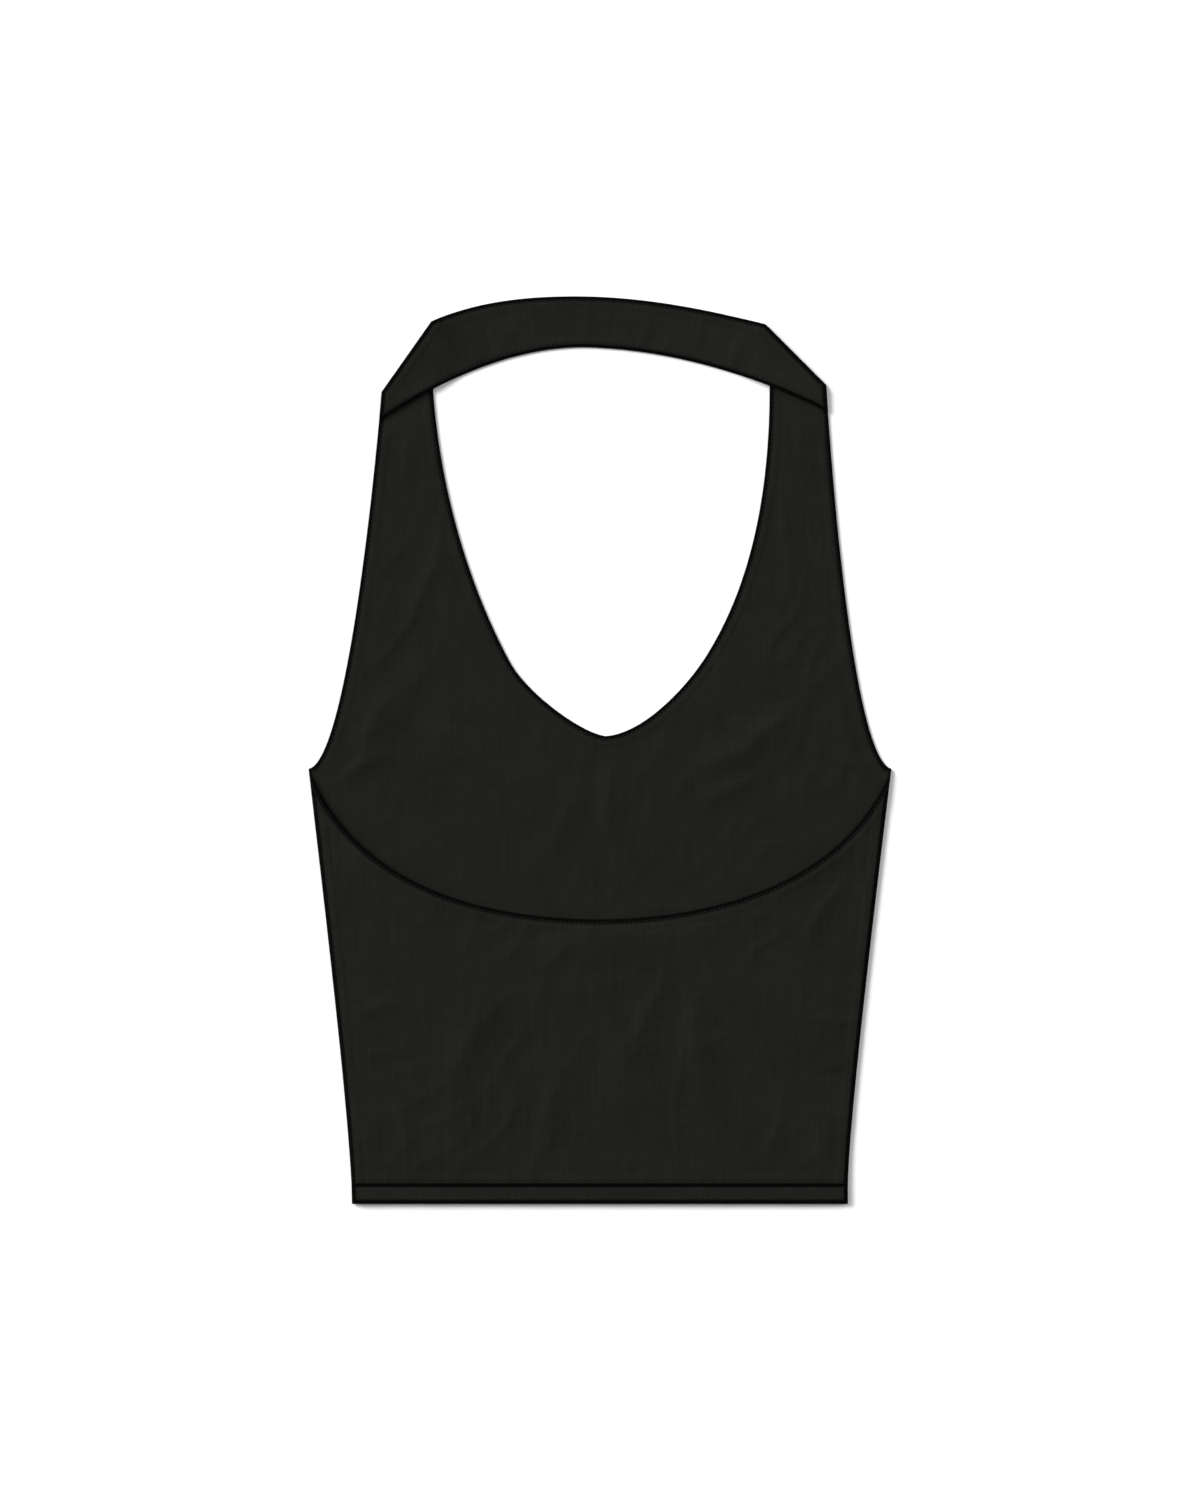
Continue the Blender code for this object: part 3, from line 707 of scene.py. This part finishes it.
def thread_material():
    material = bpy.data.materials.new("thread")
    material.use_nodes = True
    tree = material.node_tree
    shader = tree.nodes["Principled BSDF"]
    shader.inputs["Metallic"].default_value = 0.0
    shader.inputs["Specular IOR Level"].default_value = 0.15
    place = node(tree, "ShaderNodeTexCoord")
    noise = node(tree, "ShaderNodeTexNoise")
    noise.inputs["Scale"].default_value = 2600.0
    noise.inputs["Detail"].default_value = 2.0
    tree.links.new(place.outputs["Object"], noise.inputs["Vector"])
    mix = node(tree, "ShaderNodeMix", data_type="RGBA")
    mix.inputs["A"].default_value = (0.0032, 0.0032, 0.0030, 1.0)
    mix.inputs["B"].default_value = (0.0066, 0.0066, 0.0062, 1.0)
    tree.links.new(noise.outputs["Fac"], mix.inputs["Factor"])
    tree.links.new(mix.outputs["Result"], shader.inputs["Base Color"])
    rough = maths(tree, "ADD", maths(tree, "MULTIPLY", noise.outputs["Fac"], 0.2), 0.45)
    tree.links.new(rough, shader.inputs["Roughness"])
    return material


# ------------------------------------------------------------------- pieces
def to_frame(points, z):
    """Millimetres of the tables to metres of the row frame."""
    return np.stack([points[:, 0] * MM, (points[:, 1] - FULL_HEIGHT / 2) * MM, z * MM], axis=1)


def mesh_from(name, vertices, faces, material):
    mesh = bpy.data.meshes.new(name)
    mesh.vertices.add(len(vertices))
    mesh.vertices.foreach_set("co", np.asarray(vertices, np.float32).ravel())
    faces = np.asarray(faces, np.int32)
    mesh.loops.add(faces.size)
    mesh.loops.foreach_set("vertex_index", faces.ravel())
    mesh.polygons.add(len(faces))
    mesh.polygons.foreach_set("loop_start", np.arange(0, faces.size, faces.shape[1], dtype=np.int32))
    mesh.update(calc_edges=True)
    mesh.validate()
    mesh.shade_smooth()
    mesh.materials.append(material)
    piece = bpy.data.objects.new(name, mesh)
    bpy.context.scene.collection.objects.link(piece)
    return piece


def cloth(name, grids, heights, material, grain=None, rim_from=2.0, rim_to=2.9):
    """A closed shell over the grids, with its lower and upper faces from heights()."""
    flat = np.vstack([g.reshape(-1, 2) for g in grids])
    _, first, same = np.unique(np.round(flat, 4), axis=0, return_index=True, return_inverse=True)
    same = same.ravel()
    points = flat[first]
    cells, start = [], 0
    for g in grids:
        rows, columns = g.shape[:2]
        ids = same[start:start + rows * columns].reshape(rows, columns)
        start += rows * columns
        a, b, c, d = ids[:-1, :-1].ravel(), ids[:-1, 1:].ravel(), ids[1:, 1:].ravel(), ids[1:, :-1].ravel()
        area = np.zeros(len(a))
        ring = np.stack([a, b, c, d], 1)
        for k in range(4):
            p, q = points[ring[:, k]], points[ring[:, (k + 1) % 4]]
            area += p[:, 0] * q[:, 1] - p[:, 1] * q[:, 0]
        if area.sum() < 0:
            ring = ring[:, ::-1]
        cells.append(ring)
    cells = np.vstack(cells)
    skin = heights(points)
    n = len(points)
    used = np.stack([cells, np.roll(cells, -1, axis=1)], axis=-1).reshape(-1, 2)
    code, back = used[:, 0].astype(np.int64) * n + used[:, 1], used[:, 1].astype(np.int64) * n + used[:, 0]
    rim = used[~np.isin(code, back)]
    faces = np.vstack([cells[:, ::-1], cells + n, np.stack([rim[:, 0], rim[:, 1], rim[:, 1] + n, rim[:, 0] + n], 1)])
    piece = mesh_from(name, np.vstack([to_frame(points, skin.low), to_frame(points, skin.high)]), faces, material)
    # the knit runs over the edge: a little past it on the upper face, and mirrored on the lower one
    over = points + skin.out * (0.6 * skin.down)[:, None]
    turned = skin.inside < 7.0
    under = points + skin.out * np.where(turned, 2.0 * skin.inside + 0.5 + 0.6 * (skin.up + skin.down), 0.0)[:, None]
    if grain is not None:
        over, under = grain(over), grain(under)
    both = np.vstack([np.column_stack([under, np.zeros(n)]), np.column_stack([over, np.zeros(n)])]).astype(np.float32)
    piece.data.attributes.new("grain", "FLOAT_VECTOR", "POINT").data.foreach_set("vector", both.ravel())
    # painted shade: the colour goes near black within rim_from to rim_to of each edge, the scoop and the hem seam; the
    # same mask also raises the roughness
    painted_edge_shade = (1.0 - ease((skin.edge - rim_from) / (rim_to - rim_from))).astype(np.float32)
    piece.data.attributes.new("rim", "FLOAT", "POINT").data.foreach_set("value", np.concatenate([painted_edge_shade, painted_edge_shade]))
    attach(piece, "root")
    return piece


def stitch_row(chain, begin, end, inside, turn):
    """Centre and heading of each stitch in a row inside an edge. turn is +1 where the cloth is left of the way."""
    count = max(1, int(round((end - begin) / STITCH_PITCH)))
    s = begin + (np.arange(count) + 0.5) * (end - begin) / count
    head = chain.heading(s)
    normal = np.stack([-head[:, 1], head[:, 0]], axis=1) * turn
    return chain.at(s) + normal * inside, head


def stitches(name, rows, heights, material):
    """Rows of short threads that rise out of the cloth, lie on it and dip back in. face is 1 on top, -1 underneath."""
    rings, sides = 5, 6
    vertices, faces = [], []
    along = np.linspace(-1.0, 1.0, rings)
    for chain, begin, end, turn, face in rows:
        centre, head = stitch_row(chain, begin, end, STITCH_IN, turn)
        skin = heights(centre)
        for (x, y), (hx, hy), z in zip(centre, head, skin.high if face > 0 else skin.low):
            base = len(vertices)
            for t in along:
                lift = THREAD * 0.75 - 0.26 * t**4
                r = THREAD * (1.0 - 0.35 * t**6)
                cx, cy = x + hx * t * STITCH_PITCH * 0.40, y + hy * t * STITCH_PITCH * 0.40
                for k in range(sides):
                    a = 2 * math.pi * k / sides
                    out, up = r * 1.15 * math.cos(a), r * math.sin(a)
                    vertices.append((cx - hy * out, cy + hx * out, z + face * (lift + up)))
            for i in range(rings - 1):
                for k in range(sides):
                    p, q = base + i * sides + k, base + i * sides + (k + 1) % sides
                    faces.append((p, p + sides, q + sides, q)[::face])
            for ring, flip in ((0, False), (rings - 1, True)):
                c = [base + ring * sides + k for k in range(sides)]
                for quad in ((c[0], c[1], c[2], c[3]), (c[0], c[3], c[4], c[5])):
                    faces.append(quad[::-face] if flip else quad[::face])
    v = np.array(vertices)
    piece = mesh_from(name, to_frame(v[:, :2], v[:, 2]), faces, material)
    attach(piece, "root")
    return piece


def band_grain(points):
    """The neck band's knit follows its length."""
    d, s = BAND_LOW.near(points)
    edge_y = np.interp(points[:, 0], BAND_LOW.points[:, 0], BAND_LOW.points[:, 1])
    return np.stack([s, np.where(points[:, 1] < edge_y, -d, d)], axis=1)


near_black = (0.0095, 0.0095, 0.0084)
panel_jersey = jersey("panel_jersey", near_black, seed=0.0)
back_jersey = jersey("back_jersey", near_black, seed=1.0)
band_jersey = jersey("band_jersey", near_black, seed=2.0)
hem_jersey = jersey("hem_jersey", near_black, seed=3.0)
sewing = thread_material()

half = GAP / 2
front = cloth("front_cloth", [shift_row(front_half("left"), 0, half), shift_row(front_half("right"), 0, half)], front_heights, panel_jersey)
back = cloth("back_cloth", [shift_row(back_grid(), 0, half)], back_heights, back_jersey)
band = cloth("neck_band_cloth", [band_grid()], band_heights, band_jersey, grain=band_grain)
hem_front = cloth("hem_front_cloth", [shift_row(hem_grid(), -1, -half)], lambda p: hem_heights(p, 0.0, False), hem_jersey)
hem_back = cloth("hem_back_cloth", [shift_row(hem_grid(), -1, -half)], lambda p: hem_heights(p, HEM_WALL + GAP, True), hem_jersey)

front_rows = [(NECKLINE, 4.0, NECKLINE.length - 2.0, -1), (ARMHOLES[0], 7.0, ARMHOLES[0].length - 20.0, -1), (ARMHOLES[1], 7.0, ARMHOLES[1].length - 18.0, 1)]
band_rows = [(BAND_LOW, 3.0, BAND_LOW.length - 3.0, 1), (BAND_TOP, 3.0, BAND_TOP.length - 3.0, -1)]
seam_row = (SEAM, 3.0, SEAM.length - 3.0, 1)
front_stitches = stitches("front_stitches", [(*row, face) for row in front_rows for face in (1, -1)] + [(*seam_row, -1)], front_heights, sewing)
back_stitches = stitches("back_stitches", [(SCOOP_EDGE, 9.0, SCOOP_EDGE.length - 9.0, -1, 1)], back_heights, sewing)
band_stitches = stitches("band_stitches", [(*row, face) for row in band_rows for face in (1, -1)], band_heights, sewing)
hem_stitches = stitches("hem_stitches", [(*seam_row, 1)], back_heights, sewing)

for piece, cad in ((front, "front_panel"), (back, "back_panel"), (band, "neck_band"), (hem_front, "hem_band_front"), (hem_back, "hem_band_back")):
    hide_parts(cad)

# ------------------------------------------------- floor, light and camera
floor_mesh = bpy.data.meshes.new("floor")
reach = 14.0
floor_mesh.from_pydata([(-reach, -reach, 0), (reach, -reach, 0), (reach, reach, 0), (-reach, reach, 0)], [], [(0, 1, 2, 3)])
floor = bpy.data.objects.new("floor", floor_mesh)
bpy.context.scene.collection.objects.link(floor)
floor.location.z = -0.0002
paper = bpy.data.materials.new("paper_white")
paper.use_nodes = True
paper_shader = paper.node_tree.nodes["Principled BSDF"]
paper_shader.inputs["Base Color"].default_value = (0.94, 0.94, 0.94, 1.0)
paper_shader.inputs["Roughness"].default_value = 0.9
paper_shader.inputs["Specular IOR Level"].default_value = 0.1
floor_mesh.materials.append(paper)

# a pale tent of light: bright low down, darker overhead
world = bpy.data.worlds.new("world")
bpy.context.scene.world = world
world.use_nodes = True
sky = world.node_tree
direction = node(sky, "ShaderNodeTexCoord")
parts = node(sky, "ShaderNodeSeparateXYZ")
sky.links.new(direction.outputs["Generated"], parts.inputs[0])
level = maths(sky, "SUBTRACT", 1.0, maths(sky, "MULTIPLY", parts.outputs["Z"], parts.outputs["Z"]))
sky.links.new(maths(sky, "ADD", maths(sky, "MULTIPLY", level, SKY_LOW - SKY_HIGH), SKY_HIGH), sky.nodes["Background"].inputs["Strength"])
sky.nodes["Background"].inputs["Color"].default_value = (1.0, 1.0, 1.0, 1.0)

for lamp in LAMPS:
    sun = bpy.data.lights.new(lamp.name, "SUN")
    sun.energy, sun.angle = lamp.power, math.radians(lamp.covers)
    beam = bpy.data.objects.new(lamp.name, sun)
    bpy.context.scene.collection.objects.link(beam)
    beam.rotation_euler = (math.radians(90.0 - lamp.up), 0.0, math.radians(lamp.stands + 180.0))

camera_data = bpy.data.cameras.new("camera")
camera = bpy.data.objects.new("camera", camera_data)
bpy.context.scene.collection.objects.link(camera)
camera_data.type = "PERSP"
camera_data.sensor_width = 36.0
camera_data.lens = 135.0
seen_height = 1500 * 0.64 * MM
camera.location = (0.0, 0.0, 2 * WALL * MM + seen_height * camera_data.lens / camera_data.sensor_width)
camera.rotation_euler = (0.0, 0.0, 0.0)
camera_data.clip_start, camera_data.clip_end = 0.05, 60.0
bpy.context.scene.camera = camera
bpy.context.scene.view_settings.view_transform = "Standard"
